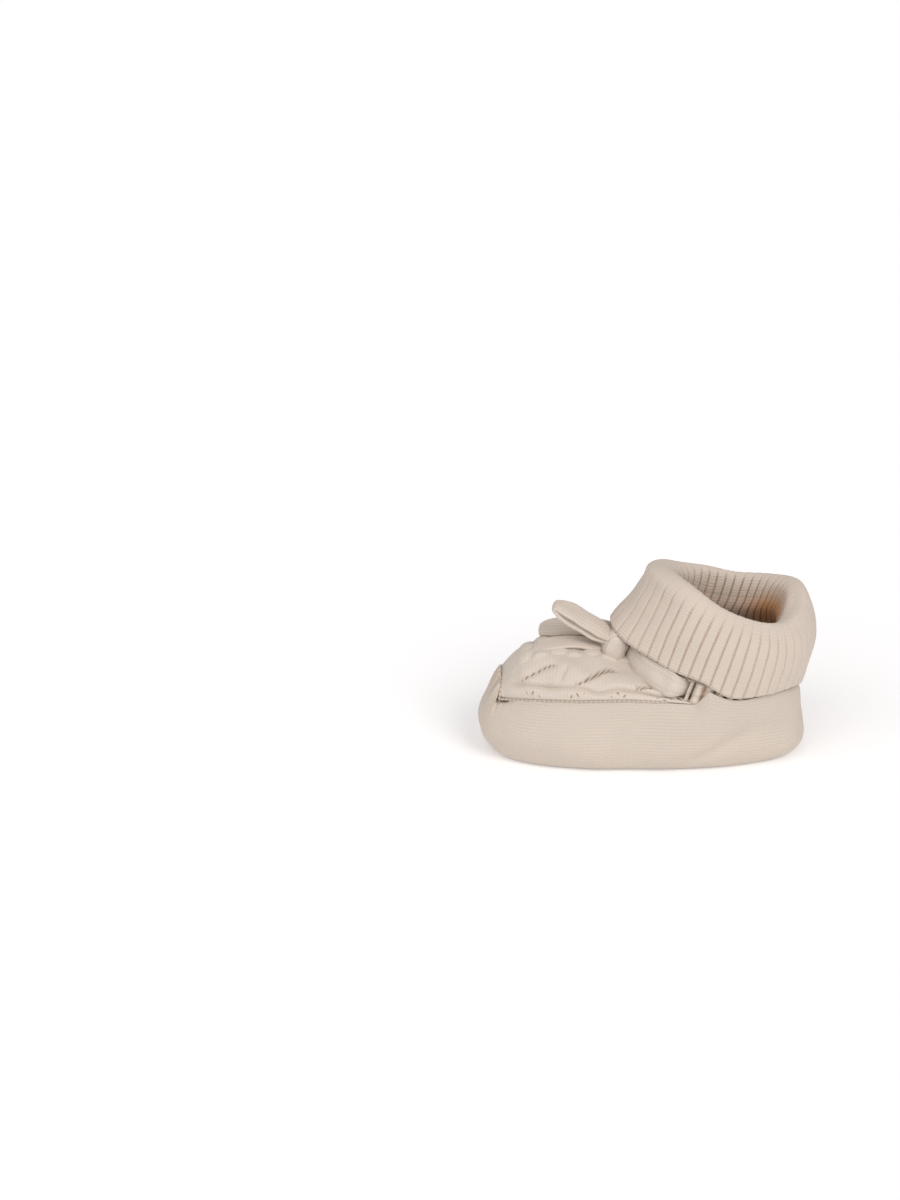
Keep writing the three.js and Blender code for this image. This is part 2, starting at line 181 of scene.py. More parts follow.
def grid_object(name, p, uv, painted_shade=None, wrap_u=False, wrap_v=False, keep=None):
    """A mesh from a grid of points (rows, columns, 3) in millimetres.

    uv has one more row or column than p where the grid closes on itself. groove is painted
    shade that the material mixes into the colour: 0 on the raised yarn and 1 in the deepest
    gaps. keep says which faces stay."""
    rows, cols = p.shape[:2]
    face_rows, face_cols = rows if wrap_v else rows - 1, cols if wrap_u else cols - 1
    j, i = np.meshgrid(np.arange(face_rows), np.arange(face_cols), indexing="ij")
    if keep is not None:
        j, i = j[keep], i[keep]
    j, i = j.ravel(), i.ravel()
    j1, i1 = j + 1, i + 1
    here, above = j * cols, (j1 % rows) * cols
    quads = np.stack([here + i, here + i1 % cols, above + i1 % cols, above + i], 1)
    corners = np.stack([uv[j, i], uv[j, i1], uv[j1, i1], uv[j1, i]], 1)
    mesh = bpy.data.meshes.new(name)
    mesh.vertices.add(rows * cols)
    mesh.vertices.foreach_set("co", (p * MM).astype(np.float32).ravel())
    mesh.loops.add(quads.size)
    mesh.loops.foreach_set("vertex_index", quads.astype(np.int32).ravel())
    mesh.polygons.add(len(quads))
    mesh.polygons.foreach_set("loop_start", np.arange(0, quads.size, 4, dtype=np.int32))
    mesh.update(calc_edges=True)
    layer = mesh.uv_layers.new(name="knit")
    layer.data.foreach_set("uv", corners.astype(np.float32).ravel())
    level = mesh.attributes.new("painted_shade", "FLOAT", "POINT")
    values = np.zeros(rows * cols) if painted_shade is None else np.broadcast_to(painted_shade, p.shape[:2]).ravel()
    level.data.foreach_set("value", values.astype(np.float32))
    mesh.validate()
    mesh.shade_smooth()
    piece = bpy.data.objects.new(name, mesh)
    bpy.context.collection.objects.link(piece)
    return piece


def tidy(piece):
    """Merges the points that lie on each other, drops loose ones and turns the faces outwards."""
    work = bmesh.new()
    work.from_mesh(piece.data)
    bmesh.ops.remove_doubles(work, verts=work.verts, dist=2e-6)
    bmesh.ops.delete(work, geom=[v for v in work.verts if not v.link_faces], context="VERTS")
    bmesh.ops.recalc_face_normals(work, faces=work.faces)
    work.to_mesh(piece.data)
    work.free()
    return piece


# ---- Leg frame, as in the CAD ----


def leg_point(degrees, inset, height):
    """A point of the leg from its angle, its inset from the outside and its height."""
    angle = np.radians(degrees)
    along = LEG_SHIFT - (LEG_A - inset) * np.cos(angle)
    x = (LEG_B - inset) * np.sin(angle)
    y = LEG_ORIGIN_Y + along * math.cos(LEG_TILT) + height * math.sin(LEG_TILT)
    z = LEG_ORIGIN_Z - along * math.sin(LEG_TILT) + height * math.cos(LEG_TILT)
    return np.stack(np.broadcast_arrays(x, y, z), -1)


def band_height(degrees):
    """Height of the eyelet row's middle."""
    c = np.cos(np.radians(degrees))
    return -1.0 - 4.8 * c + 3.2 * c * c


def bump(degrees, centre, width):
    """1 at the given angle on either side of the front, falling away over the given width."""
    return np.exp(-(((np.abs(from_front(degrees)) - centre) / width) ** 2))


def cuff_lower(degrees):
    """Height of the flap's lower edge."""
    even = 3.35 - 1.6 * np.cos(np.radians(degrees)) + 1.75 * bump(degrees, 0, 27)
    return even - 2.5 * bump(degrees, 100, 19) + 0.9 * bump(degrees, 150, 30)


def cuff_crest(degrees):
    """Height of the fold's crest: highest at the front, with a dip in the near side only."""
    a = np.radians(degrees)
    even = 28.3 - 2.4 * np.cos(a) + 1.25 * np.cos(2 * a) - 0.85 * np.cos(3 * a)
    even = even + 2.1 * bump(degrees, 0, 37)
    dip = np.exp(-(((from_front(degrees) - 71) / 33) ** 2))
    return even + 2.5 * np.sin(2 * a) - 0.9 * np.sin(3 * a) - 2.8 * dip


def flare(degrees):
    """How far the flap's lower edge stands out from the leg."""
    return 7.0 * bump(degrees, 0, 28)


def roll_start(degrees):
    """Inset at which the fold's roll starts, on its outside."""
    even = 4.1 - 2.75 * np.cos(np.radians(degrees)) - 0.9 * np.cos(np.radians(2 * degrees))
    return even - FRONT_LEAN * bump(degrees, 0, 38)


def roll_width(degrees):
    """Width of the roll, from its outside to the mouth."""
    even = 6.6 + 0.25 * np.cos(np.radians(degrees)) + 2.1 * np.cos(np.radians(2 * degrees))
    return even + FRONT_LEAN * bump(degrees, 0, 38)


def even_angles(count):
    """Angles round the leg, evenly spaced along its oval, with the place in it from 0 to 1."""
    fine = np.linspace(0, 360, 2881)
    length = arc(leg_point(fine, 3.0, 0.0)[None], 1)[0]
    place = np.arange(count) / count
    return np.interp(place * length[-1], length, fine), place


# ---- Foot form, as in the CAD ----


def outline(degrees):
    """The foot's widest outline, flat on the floor."""
    c, s = np.cos(np.radians(degrees)), np.sin(np.radians(degrees))
    x = (HALF_WIDTH + TOE_WIDENING * c) * signed_power(s, 2 / OUTLINE_POWER)
    y = (TOE_Y + HEEL_Y) / 2 - (HEEL_Y - TOE_Y) / 2 * signed_power(c, 2 / OUTLINE_POWER)
    return np.stack([x, y, np.zeros_like(x)], -1)


def spine(degrees):
    """The place on the sole's middle line that lies inwards from the outline."""
    p = outline(degrees)
    p[..., 0] = 0
    p[..., 1] = -1.6 + 0.55 * (p[..., 1] + 1.6)
    return p


SIDE_EDGE = [
    [9.5, -47.9, 20.5], [15.6, -38, 22.6], [20.2, -23, 24.2], [22.0, -5, 25.2],
    leg_point(EYELET_ANGLE, BAND_INSET, band_height(EYELET_ANGLE) - BAND_HALF),
]


def rim(degrees):
    """The foot's upper edge: over the toe, along the instep panel, then round the ankle."""
    turn = from_front(degrees)
    u = np.abs(turn)
    a = np.minimum(u / NOTCH_U, 1) * math.pi / 2
    toe = np.stack([9.5 * np.sin(a), -47.9 + 1.4 * np.cos(a), 20.5 + 6.5 * np.cos(a)], -1)
    side = catmull(SIDE_EDGE, (u - NOTCH_U) / (EYELET_U - NOTCH_U))
    angle = mix(EYELET_ANGLE, 180, np.clip((u - EYELET_U) / (180 - EYELET_U), 0, 1))
    back = leg_point(angle, BAND_INSET, band_height(angle) - BAND_HALF)
    p = np.where((u <= NOTCH_U)[..., None], toe, np.where((u <= EYELET_U)[..., None], side, back))
    p[..., 0] *= np.where(turn < 0, -1, 1)
    return p


def foot_point(degrees, t, depth):
    """The foot's fabric; t runs from the middle of the sole (0) to the rim (1)."""
    degrees, t, depth = np.broadcast_arrays(degrees, t, depth)
    c = np.cos(np.radians(degrees))
    base, middle, high = outline(degrees), spine(degrees), rim(degrees)
    inward = unit(middle - base)
    widest, edge = 11 + 1.5 * c - 2.5 * c * c, 8 + c
    sole_edge = base + inward * (edge + depth)[..., None]
    flat = mix(middle, sole_edge, (np.minimum(t / 0.35, 1))[..., None])
    flat[..., 2] = depth
    a = np.clip((t - 0.35) / 0.25, 0, 1) * math.pi / 2
    bend = base + inward * (depth + edge * (1 - np.sin(a)))[..., None]
    bend[..., 2] = depth + (widest - depth) * (1 - np.cos(a))
    s = np.clip((t - 0.6) / 0.4, 0, 1)[..., None]
    low = base.copy()
    low[..., 2] = widest
    pull = mix(low, high, 0.12)
    pull[..., 2] = mix(widest, high[..., 2], 0.6)
    wall = (1 - s) ** 2 * low + 2 * s * (1 - s) * pull + s**2 * high + inward * depth[..., None]
    t = t[..., None]
    return np.where(t <= 0.35, flat, np.where(t <= 0.6, bend, wall))


# ---- Fabric pieces ----


def collar(turn):
    """Height of the foot's edge behind the side eyelets, where it comes up to the cuff."""
    shown = 0.15 + 1.15 * (1 - smooth(np.abs(turn), 105, 150))
    return cuff_lower(turn) - shown


def raised_rim(degrees, outer):
    """Draws the wall's upper rows behind the side eyelets up over the eyelet row's lower half."""
    turn = from_front(degrees)
    behind = smooth(np.abs(turn), EYELET_U - 1, EYELET_U + 5)
    angle = mix(EYELET_ANGLE, 180, np.clip((np.abs(turn) - EYELET_U) / (180 - EYELET_U), 0, 1))
    angle = np.where(turn < 0, -angle, angle)
    top = leg_point(angle, 1.5, collar(angle))
    rows = len(outer)
    pull = smooth(np.arange(rows) / (rows - 1), 0.72, 1.0)[:, None] * behind[None]
    return outer + (top - outer[-1])[None] * (pull**1.3)[..., None]


def foot_shell():
    """The foot in fine jersey: courses run round it, and it is gathered over the toe."""
    cols, outer_rows, inner_rows = 640, 190, 22
    degrees = np.arange(cols) * 360 / cols
    lengths = arc(foot_point(90.0, np.linspace(0, 1, 400), 0.0)[None], 1)[0]
    t_outer = np.interp(np.linspace(0, lengths[-1], outer_rows), lengths, np.linspace(0, 1, 400))
    t_inner = np.linspace(1, 0, inner_rows)
    outer = raised_rim(degrees, foot_point(degrees[None], t_outer[:, None], 0.0))
    inner = foot_point(degrees[None], t_inner[:, None], FABRIC)
    normal = outward_normals(outer, 150)
    along = arc(outer, 0)
    turn = from_front(degrees)
    course = courses(along)
    near_rim = smooth(t_outer, 0.74, 1.0)[:, None]
    on_wall = smooth(t_outer, 0.36, 0.55)[:, None]
    toe = np.exp(-((turn / 27.0) ** 4))[None]
    a = np.radians(turn)
    gathers = 1 - 2 * np.abs(np.sin(a * 27 + 1.1 * np.sin(a * 13)))[None] ** 0.8
    bulge = on_wall * (0.75 * lumps(outer, 38, 3) + 0.28 * lumps(outer, 14, 4))
    crease = -1.3 * np.exp(-(((outer[..., 1] - 8 - 1.6 * outer[..., 2]) / 5) ** 2))
    crease *= np.exp(-(((outer[..., 2] - 8) / 6) ** 2)) * on_wall
    ends = np.cos(a)[None] ** 2 * on_wall * (1 - near_rim)
    lift = bulge * (1 - 0.6 * near_rim) + crease - 0.7 * ends + 0.5 * toe * near_rim * gathers
    corner = np.abs(turn) - 25  # from the corner of the arch over the toe
    notch = 0.3 + 1.5 * np.exp(-((corner / 7) ** 2)) - 0.7 * np.exp(-((turn / 15) ** 4))
    lift -= notch[None] * smooth(t_outer, 0.91, 1.0)[:, None] ** 2
    lift += on_wall * (course - 1) * 0.09 * (1 + 0.5 * lumps(outer, 22, 5))
    lift *= smooth(t_outer, 0.0, 0.34)[:, None]
    outer = outer + normal * lift[..., None]
    outer[..., 2] = np.maximum(outer[..., 2], 0.0)
    p = np.concatenate([outer, inner[1:]], 0)
    # Painted shade between the courses, in the toe's gathers and the arch's corner notches, and
    # evenly over the foot's inside.
    shade = 0.12 * (1 - course) * on_wall + 0.3 * toe * near_rim * (0.5 - 0.5 * gathers)
    shade = shade + 0.6 * np.exp(-((corner / 4) ** 2))[None] * smooth(t_outer, 0.93, 1.0)[:, None]
    painted_shade = np.concatenate([shade, np.full((inner_rows - 1, cols), 0.3)], 0)
    around = arc(np.concatenate([outer[120:121], outer[120:121, :1]], 1), 1)[0]
    v = np.concatenate([along[:, 160], along[-1, 160] + np.linspace(1, 55, inner_rows - 1)])
    return tidy(grid_object("foot_knit", p, uv_grid(around, v), painted_shade, wrap_u=True))


CROWN = [
    [0, -46.6, 27.3], [0, -43.4, 30.6], [0, -37.5, 34.0], [0, -28, 35.6], [0, -19, 35.0],
    [0, -12, 32.4], leg_point(0.0, BAND_INSET + 0.2, band_height(0.0) - BAND_HALF),
]


def instep_point(p, q):
    """The instep panel: p runs across it from -1 to 1, q from the toe (0) to the ankle (1)."""
    p, q = np.broadcast_arrays(p, q)
    u = mix(NOTCH_U, EYELET_U, q)
    inward = spine(u) - outline(u)
    inward[..., 2] = 0
    side = rim(u) + unit(inward) * 0.5
    middle = catmull(CROWN, q)
    span = np.radians(mix(88, EYELET_ANGLE, q))
    rise = (np.cos(p * span) - np.cos(span)) / (1 - np.cos(span))
    point = np.stack([
        side[..., 0] * np.sin(p * span) / np.sin(span),
        mix(side[..., 1], middle[..., 1], rise),
        mix(side[..., 2], middle[..., 2], np.maximum(rise, 0) ** 0.9),
    ], -1)
    angle = p * EYELET_ANGLE
    ankle = leg_point(angle, BAND_INSET + 0.2, band_height(angle) - BAND_HALF)
    return mix(point, ankle, smooth(q, 0.8, 1)[..., None])


def leaf_lace(a, b, border):
    """Height, holes and raised parts of the lace; a and b are the millimetres across from the middle
    and along from the toe, and border is the distance from the seam.

    Leaves stand in a row along each side, each outlined by an arc of fine eyelets; the middle of the
    panel is plump, with rows of small bobbles."""
    part = ((b - 7.5) / 19.0) % 1
    reach = 5.4 + (4.6 + 0.09 * b) * np.sin(math.pi * part**1.5) ** 0.9
    gap = border - reach
    arch = 1 - smooth(part, 0.58, 0.76)
    beads = 0.5 + 0.5 * np.cos(2 * math.pi * (b - 0.6 * border) / 1.15)
    slit = mix(0.33, 1.2, smooth(b, 28, 33))
    eyelets = np.exp(-(((gap - 0.1) / slit) ** 2)) * beads**2 * arch
    valley = np.exp(-((gap / 1.3) ** 2)) * arch
    row = np.round(b / 5.2)
    x = (a / 6.0 + 0.5 * (row % 2) + 0.5) % 1 - 0.5
    bobble = np.clip(1 - (x * 2.05) ** 2 - ((b / 5.2 - row) * 2.0) ** 2, 0, 1) ** 0.7
    bobble = bobble * (1 - smooth(np.abs(a), 8.0, 10.0)) * smooth(gap, 0, 1.5)
    return 0.95 - 0.55 * valley + 0.75 * bobble, eyelets, 1 - 0.6 * valley


def instep_panel():
    """The lace panel on top of the foot, with a flat eyelet border along its seam."""
    cols, rows = 430, 400
    p = np.linspace(-1, 1, cols)[None]
    q = np.linspace(0, 1, rows)[:, None]
    base = instep_point(p, q)
    across, along = arc(base, 1), arc(base, 0)
    full = across[:, -1:]
    border = np.minimum(across, full - across)
    a = across - full / 2 + 0.5 * lumps(base, 25, 8)
    height, hole, raised = leaf_lace(a, along + 0.6 * lumps(base, 18, 9), border)
    edge = 4.7 - 2.2 * np.exp(-(((along - 34) / 4.5) ** 2)) + 0.3 * lumps(base, 15, 13)
    inside = smooth(border - edge, -0.3, 2.2) * smooth(along, 2.0, 13.0)
    back = 1 - smooth(q, 0.90, 0.985)
    crumple = 0.95 * lumps(base, 17, 11) + 0.35 * lumps(base, 8, 12)
    fold = np.exp(-(((along - 22 - 0.35 * (border - 7)) / 0.9) ** 2 + ((border - 9) / 3.2) ** 2))
    crumpled = back * smooth(border, 1.0, 5.0) * smooth(along, 0, 12)
    lift = inside * back * (height + 0.4) + crumpled * crumple
    lift -= 0.4 * (1 - smooth(along, 0, 5))
    crease = np.exp(-(((border - edge) / 0.7) ** 2)) * back * smooth(along, 2, 6)
    lift -= 0.55 * crease + 0.8 * fold
    lift += 0.35 * np.exp(-(((border - 2.4) / 1.7) ** 2)) - 0.35 * (1 - smooth(border, 0.0, 1.0))
    pair = np.clip(np.cos(2 * math.pi * along / 14.0 + 0.6) + 0.2 * lumps(base, 9, 14), 0, 1)
    pair = pair * (0.5 + 0.5 * np.cos(2 * math.pi * along / 2.1)) ** 4
    spot = np.exp(-(((border - 2.3 - 0.9 * np.cos(1.9 * along)) / 0.42) ** 2))
    spot = spot * pair * smooth(along, 6, 9)
    holes = np.maximum(hole * inside, 0.8 * spot) * back
    lift += 0.05 * (courses(along) - 1) - 1.1 * holes
    normal = grid_normals(base)
    normal *= np.sign(normal[..., 2].mean())
    top = base + normal * lift[..., None]
    # Painted shade in the eyelet holes, the lace's valleys and along the crease.
    painted_shade = np.clip(0.85 * holes + 0.22 * (1 - raised) * inside * back + 0.15 * crease, 0, 1)
    uv = np.stack([across, along], -1)
    return grid_object("instep_lace", top, uv, painted_shade)


def rib(place):
    """A rib's height round the leg: 0 on the flat ridge and -1 or lower in the narrow hollow."""
    x = np.abs((place * RIBS) % 1 - 0.5)
    return -np.exp(-((x / 0.07) ** 2)) - 0.30 * np.clip(1 - x / 0.32, 0, 1) ** 2


def rib_shade(place):
    """Painted shade between the ribs: 1 in the hollow between two ribs and 0 on the ridges."""
    return np.exp(-(((place * RIBS) % 1 - 0.5) / 0.075) ** 2)


def rib_depth(s, degrees):
    """Ribs are deep on the flap, fade over the fold and are deepest inside; they are nearly smooth
    on the rolls at the front and back. s is the place along the path of leg_path."""
    s = np.asarray(s, float)[:, None]
    roll = bump(degrees, 0, 34)[None] + bump(degrees, 180, 42)[None]
    calm = 0.95 * bump(degrees, 180, 62) + 0.5 * bump(degrees, 0, 34)
    outside = (1 - smooth(s, 0.37, 0.56)) * (1 - calm)[None]
    inside = smooth(s, 0.68, 0.86) * (1 - 0.8 * roll * (1 - smooth(s, 0.95, 1.25)))
    return 0.56 * outside + 0.62 * inside + 0.08 * (1 - roll)


def flap_point(degrees, t, deeper=0.0):
    """Inset and height on the flap: t is 0 at its lower edge and 1 at the height of the crest."""
    inset = mix(-flare(degrees), CREST_INSET, t)
    inset = inset + (roll_start(degrees) - CREST_INSET) * smooth(t, 0.55, 1) + deeper
    return inset, mix(cuff_lower(degrees), cuff_crest(degrees), t)


def follow(points, t):
    """Insets and heights at the places t (0 to 1) of a smooth path through pairs of them."""
    points = np.stack([np.stack(pair, -1) for pair in points])
    flat = catmull(points.reshape(len(points), -1), t)
    return flat.reshape(np.shape(t) + points.shape[1:])


def leg_path(degrees, s):
    """Insets and heights along the fabric: s is 0 at the flap's lower edge, about 0.6 on the fold,
    1 at the fold's inner end and 2 at the bottom of the leg's inside."""
    start, width = roll_start(degrees), roll_width(degrees)
    top, end = cuff_crest(degrees), start + width
    inner_end, foot = top - FOLD_DROP, band_height(degrees) + BAND_HALF
    band_inside = BAND_INSET + BAND_THICKNESS
    outer = [flap_point(degrees, t) for t in (0.0, 0.2, 0.45, 0.72, 0.9)] + [
        (start + 0.3 * width, top), (start + 0.68 * width, top - 0.9),
        (start + 0.93 * width, top - 3.6), (end, inner_end),
    ]
    inner = [
        (end, inner_end), (end - 0.1, mix(inner_end, foot, 0.3)),
        (mix(end, band_inside, 0.6), mix(inner_end, foot, 0.68)), (band_inside + 0 * end, foot),
    ]
    s = np.asarray(s, float)
    on_cuff = (s <= 1)[:, None, None]
    return np.where(on_cuff, follow(outer, np.clip(s, 0, 1)), follow(inner, np.clip(s - 1, 0, 1)))


def cuff_underside(degrees, t):
    """The hidden side of the cuff, from the fold's inner end down to the flap's lower edge."""
    start, width = roll_start(degrees), roll_width(degrees)
    top, end = cuff_crest(degrees), start + width
    in_fold = [(end - 1.9, top - 7.3), (end - 2.2, top - 4.6), (start + 0.35 * width, top - 2.3)]
    depths = {0.7: 2.1, 0.45: 2.0, 0.2: 1.9, 0.015: 1.5}
    on_flap = [flap_point(degrees, place, deeper) for place, deeper in depths.items()]
    path = follow(in_fold + on_flap, t)
    return leg_point(degrees[None], path[..., 0], path[..., 1])


def rib_places(place, s, p):
    """The rib pattern's places round the leg, wandering a little from straight."""
    wander = 0.05 * lumps(p, 24, 25) + 0.05 * np.sin(7 * np.asarray(s, float))[:, None]
    return place[None] + wander / RIBS


def cuff():
    """The turned-down flap and its fold: narrow rib grooves outside, a plump smooth roll."""
    cols, rows, back_rows = RIBS * 22, 150, 16
    degrees, place = even_angles(cols)
    # The last two rows lie close together, so that the inner end is shaded evenly.
    s = np.append(np.linspace(0, 0.998, rows - 1), 1.0)
    path = leg_path(degrees, s)
    ripple = 0.35 * np.sin(2 * math.pi * place * 5 + 1) + 0.25 * np.sin(2 * math.pi * place * 9 + 2)
    near_edge = 1 - smooth(s, 0.0, 0.25)[:, None]
    path[..., 1] += near_edge * (ripple + 0.3 * rib(place))[None]
    path[..., 0] -= near_edge * (0.3 * np.sin(2 * math.pi * place * 7))[None]
    front = leg_point(degrees[None], path[..., 0], path[..., 1])
    normal = outward_normals(front, 20)
    places = rib_places(place, s, front)
    depth = rib_depth(s, degrees)
    along = arc(front, 0)
    soft = 0.55 * lumps(front, 30, 21) + 0.2 * lumps(front, 12, 22)
    soft *= 1 - smooth(s, 0.76, 0.88)[:, None]
    turn_in = -0.8 * (1 - smooth(s, 0.0, 0.03))[:, None]
    relief = rib(places) * depth + soft + 0.08 * (courses(along) - 1) + turn_in
    outer = front + normal * relief[..., None]
    hidden = cuff_underside(degrees, np.linspace(0, 1, back_rows))
    p = np.concatenate([outer, hidden], 0)
    # Painted shade in the rib grooves, a little stronger past the fold, and painted shade and warm
    # bounced light inside the leg; the hidden underside gets even painted shade.
    rib_shade_strength = mix(0.36, 0.45, smooth(s, 0.55, 0.75))[:, None]
    painted_shade = np.clip(rib_shade(places) * depth * rib_shade_strength + inside_shade_and_bounce(s, degrees), 0, 1)
    painted_shade = np.concatenate([painted_shade, np.full((back_rows, cols), 0.5)], 0)
    around = np.append(place, 1.0) * RIBS * RIB_PITCH
    v = np.concatenate([along[:, 0], along[-1, 0] + np.linspace(1, 40, back_rows + 1)])
    uv = uv_grid(around, v)
    return tidy(grid_object("cuff_rib", p, uv, painted_shade, wrap_u=True, wrap_v=True))


def inside_shade_and_bounce(s, degrees):
    """Painted shade and warm bounced light down inside the leg, mostly at its back: how much of
    the warm shade colour goes into the knit's colour.
    """
    turn = np.abs(from_front(degrees))
    return smooth(s, 0.78, 1.25)[:, None] * mix(0.25, 0.95, smooth(turn, 95, 138))[None]


def ankle_rib():
    """The ribbed leg inside the cuff, from just behind the fold's inner end down to the eyelets."""
    cols, rows = RIBS * 16, 70
    degrees, place = even_angles(cols)
    s = np.concatenate([np.linspace(0.90, 1.0, 12)[:-1], np.linspace(1, 2, rows - 11)])
    path = leg_path(degrees, s)
    behind = 0.06 * (1 - smooth(s, 1.0, 1.3))[:, None]
    inside = leg_point(degrees[None], path[..., 0] - behind, path[..., 1])
    inward = -outward_normals(inside, 40)
    places = rib_places(place, s, inside)
    along = arc(inside, 0)
    relief = rib(places) * rib_depth(s, degrees) + 0.08 * (courses(along) - 1)
    inner = inside + inward * relief[..., None]
    outer = leg_point(degrees[None], path[::-1, :, 0] - 1.7, path[::-1, :, 1])
    outer = outer + outward_normals(outer, 20) * (rib(place)[None] * 0.5 - 0.1)[..., None]
    p = np.concatenate([inner, outer], 0)
    # Painted shade in the rib grooves inside and out, and painted shade and warm bounced light down
    # inside the leg.
    shade = 0.5 * rib_shade(places) * rib_depth(s, degrees) + inside_shade_and_bounce(s, degrees)
    shade = np.clip(shade, 0, 1)
    painted_shade = np.concatenate([shade, np.broadcast_to(rib_shade(place) * 0.6, shade.shape)], 0)
    around = np.append(place, 1.0) * RIBS * RIB_PITCH
    v = np.concatenate([along[:, 0], along[-1, 0] + np.linspace(1, 40, len(s) + 1)])
    uv = uv_grid(around, v)
    return tidy(grid_object("leg_rib", p, uv, painted_shade, wrap_u=True, wrap_v=True))


def eyelet_band():
    """The eyelet row: plump bars with slots between them, and a wide eyelet each side for the tie."""
    cols, rows = BARS * 18, 34
    degrees, place = even_angles(cols)
    t = np.linspace(-1, 1, rows)[:, None]
    height = band_height(degrees)[None] + t * (BAND_HALF + 0.3)
    x = (place * BARS) % 1 - 0.5
    bar = np.cos(math.pi * x)[None] ** 0.8
    base = leg_point(degrees[None], BAND_INSET + 0.5 + 0 * t, height)
    outward = unit(base - leg_point(degrees[None], 14.0 + 0 * t, height))
    bulge = (1.5 * bar - 0.3) * np.sqrt(np.clip(1 - t**2, 0, 1)) + 0.3 * np.cos(3 * math.pi * t)
    front = base + outward * bulge[..., None]
    back = base[::-1] - outward[::-1] * 0.9
    p = np.concatenate([front, back], 0)
    # Painted shade in the slots between the bars, and even painted shade on the row's back.
    shade = np.clip((1 - bar) * 1.1 * np.ones_like(t), 0, 1) * (1 - t**2) ** 0.3
    painted_shade = np.concatenate([shade, np.full((rows, cols), 0.5)], 0)
    length_round, length_over = 165, 22
    uv = uv_grid(np.append(place, 1.0) * length_round, np.linspace(0, length_over, 2 * rows + 1))
    side = np.abs(from_front(degrees))
    mid_t = np.concatenate([t[:, 0], t[::-1, 0]])
    keep = np.ones((2 * rows, cols), bool)
    # Each side's eyelet, with a bar left standing in it, then the slots between the bars behind it.
    open_cols = (np.abs(side - HOLE_ANGLE) < 6) & (np.abs(side - HOLE_ANGLE - 3) > 1.0)
    keep[np.ix_(np.abs(mid_t) < 0.7, open_cols)] = False
    gap_cols = (np.abs(x) > 0.4) & (side > HOLE_ANGLE + 24)
    keep[np.ix_(np.abs(mid_t) < 0.45, gap_cols)] = False
    return tidy(grid_object("eyelet_row", p, uv, painted_shade, wrap_u=True, wrap_v=True, keep=keep))


# ---- Tape, seams and knot ----


def ribbon(name, centre, wide, half, seed, thick=TAPE, closed=False, curl=0.0, plump=0.55):
    """Knitted tape along centre, with its width along wide and six knit columns on it. curl bends it
    across, and plump rounds its edges: 0.5 is nearly square and 1 is round."""
    n, m = len(centre), 56
    if closed:
        ahead = np.roll(centre, -1, 0) - np.roll(centre, 1, 0)
    else:
        ahead = np.gradient(centre, axis=0)
    wide = unit(wide - unit(ahead) * (wide * unit(ahead)).sum(-1, keepdims=True))
    out = unit(np.cross(unit(ahead), wide))
    a = np.arange(m) / m * 2 * math.pi
    across = signed_power(np.cos(a), plump)
    over = signed_power(np.sin(a), plump)
    half = np.broadcast_to(half, n)[:, None]
    thick = np.broadcast_to(thick, n)[:, None]
    fade = np.ones((n, 1))
    if not closed:
        run = np.linspace(0, 1, n)[:, None]
        fade = np.minimum(1, np.minimum(run, 1 - run) * n / 5 + 0.02) ** 0.5
    column = np.abs(np.cos(6 * math.pi * (across + 1) / 2))[None]
    relief = (0.10 * column * np.abs(over)[None]) * np.sign(over)[None]
    bow = curl * (across[None] ** 2 - 0.4)
    shift = (over[None] * thick / 2 + relief) * fade + bow
    p = centre[:, None] + wide[:, None] * (across[None] * half * fade ** 0.3)[..., None]
    p = p + out[:, None] * shift[..., None]
    p = p + out[:, None] * (0.28 * lumps(p, 8, seed))[..., None]
    length = arc(centre[None], 1)[0]
    v = np.append(length, length[-1] + 0.6) if closed else length
    face, back = across[: m // 2] * TAPE_HALF, 12 - across[m // 2:] * TAPE_HALF
    uv = uv_grid(np.append(np.concatenate([face, back]), 20), v)
    # Painted shade between the tape's knit columns.
    painted_shade = np.broadcast_to((1 - column) * 0.3, (n, m))
    return tidy(grid_object(name, p, uv, painted_shade, wrap_u=True, wrap_v=closed))


# Each loop: its root in the knot, the way it reaches and the way its tape lies across.
NEAR_LOOP = (4.3, -11.6, 39.2), (0, -0.845, 0.535), (0.85, 0, -0.5)
FAR_LOOP = (-4.4, -12.6, 39.2), (-0.15, -0.98, -0.09), (0.87, -0.1, -0.48)
# Each tape end: points along its middle, from the knot out.
FRONT_TAIL = [
    (2.0, -12.0, 34.6), (3.0, -19, 36.7), (3.4, -25, 37.5), (3.6, -31, 37.1), (3.6, -35.3, 36.0),
]
FAR_TAIL = [
    (-3.6, -12.0, 34.9), (-10.5, -11.6, 34.2), (-16.5, -8.6, 31.8), (-21.4, -4.2, 29.3),
    (-24.3, 1.2, 25.9),
]


def tie_inset(turn):
    """Inset of the tape: outside the eyelet row at the front, and inside it behind the eyelets."""
    out = BAND_INSET - 1.1 - TAPE / 2
    inside = BAND_INSET + BAND_THICKNESS + 0.45 + TAPE / 2
    return mix(out, inside, smooth(np.abs(turn), HOLE_ANGLE - 9, HOLE_ANGLE + 4))


def tie_band():
    """The tape's run round the ankle: outside at the front, then in through the eyelets."""
    v = np.linspace(0, 1, 460)
    angle = mix(5.0, 355.0, v)
    turn = np.where(angle > 180, angle - 360, angle)
    half = mix(TAPE_HALF + 0.5, 3.0, smooth(np.abs(turn), HOLE_ANGLE - 12, HOLE_ANGLE))
    half = half * mix(0.85, 1.0, smooth(np.abs(turn), 5, 20))
    centre = leg_point(angle, tie_inset(turn), band_height(angle) + 0.45)
    wide = np.broadcast_to(LEG_UP, centre.shape)
    return ribbon("tie_tape", centre, wide, half, seed=31, curl=-0.25)


